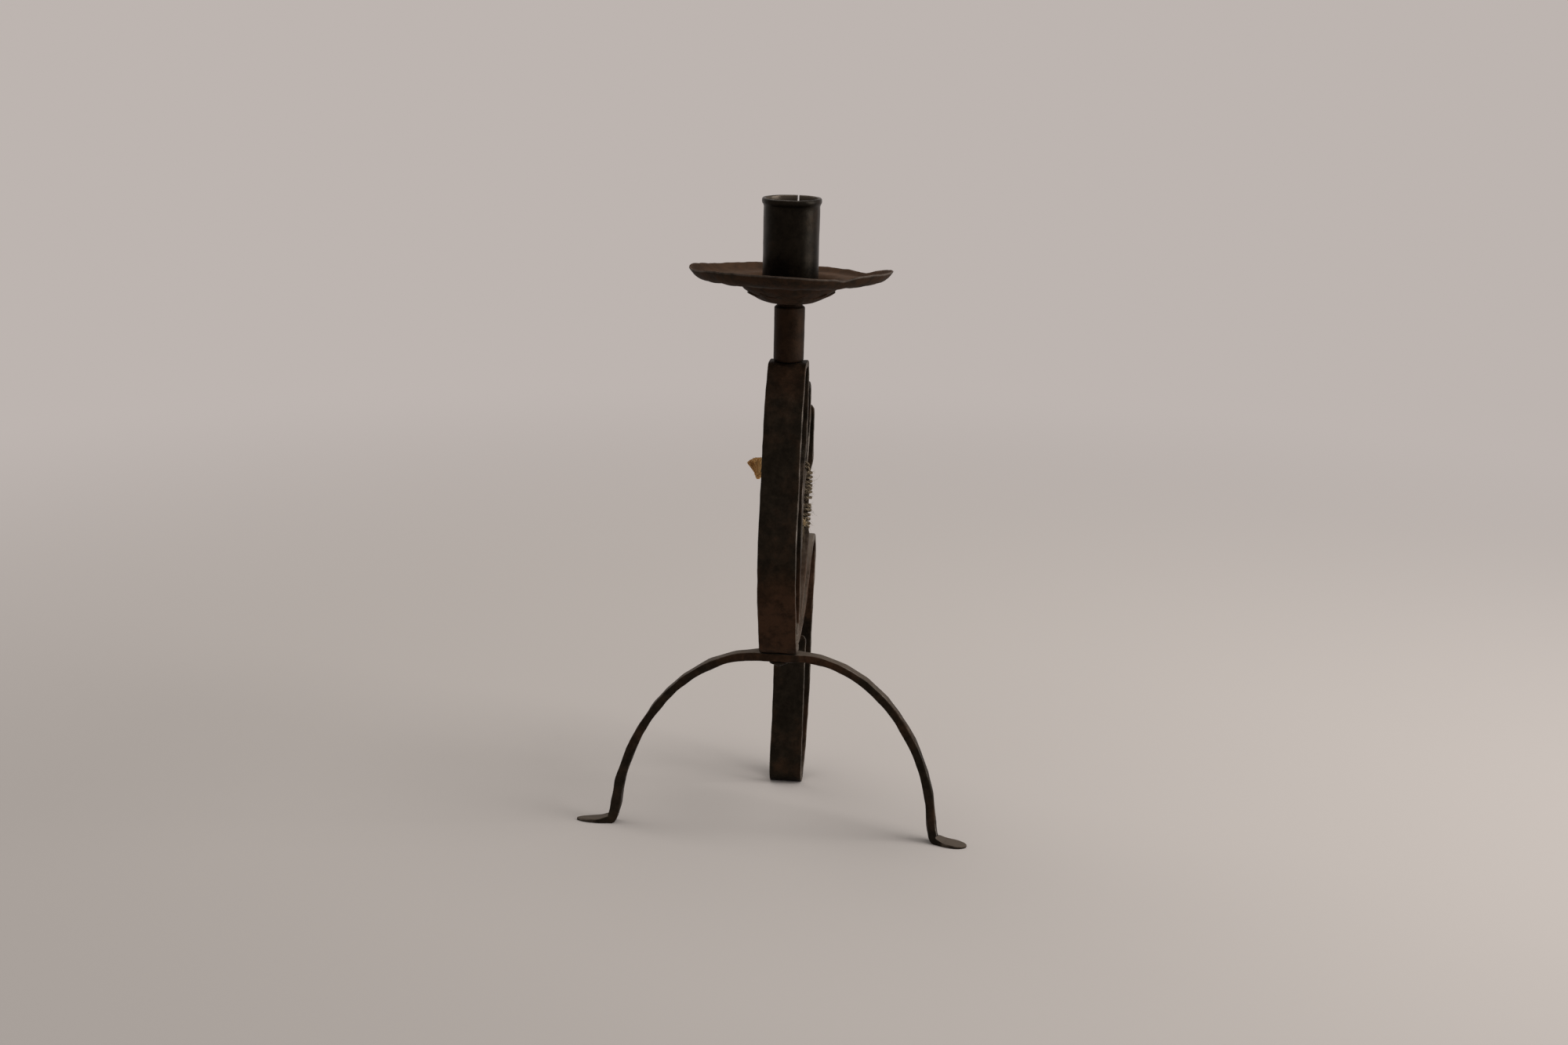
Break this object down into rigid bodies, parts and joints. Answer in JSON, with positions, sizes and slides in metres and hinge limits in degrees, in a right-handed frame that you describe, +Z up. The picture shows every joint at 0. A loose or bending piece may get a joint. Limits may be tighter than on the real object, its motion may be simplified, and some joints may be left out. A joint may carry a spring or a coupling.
{
  "type": "wrought iron candlestick",
  "caption": "Hand-forged candlestick of flat iron leaves riveted on a bent arch, with a tail bar as rear foot, a hammered drip pan, a rolled candle cup and twine tied round the leaves.",
  "frame": {"origin": "on the floor under the middle of the candlestick's box", "axes": "+Z up along the candle, -Y to the front where the arch and its toes stand, +X to the right as seen from the front"},
  "size_m": [0.1902, 0.1158, 0.2998],
  "materials": {
    "iron": "forged black-brown bar with rust in the low places and worn grey edges",
    "sheet_iron": "hammered sheet, brown with rust",
    "jute": "coarse twisted twine"
  },
  "bodies": {
    "root": {"stem_loop": "iron", "short_leaf": "iron", "long_leaf": "iron", "tail_leg": "iron", "front_arch": "iron", "joint_rivet": "iron", "joint_washer": "iron", "short_leaf_rivet": "iron", "candle_post": "iron", "leaf_washer": "sheet_iron", "drip_pan": "sheet_iron", "candle_cup": "sheet_iron", "cup_plate": "sheet_iron", "cup_screw": "iron", "twine_winding": "jute", "twine_knot": "jute"}
  },
  "joints": []
}
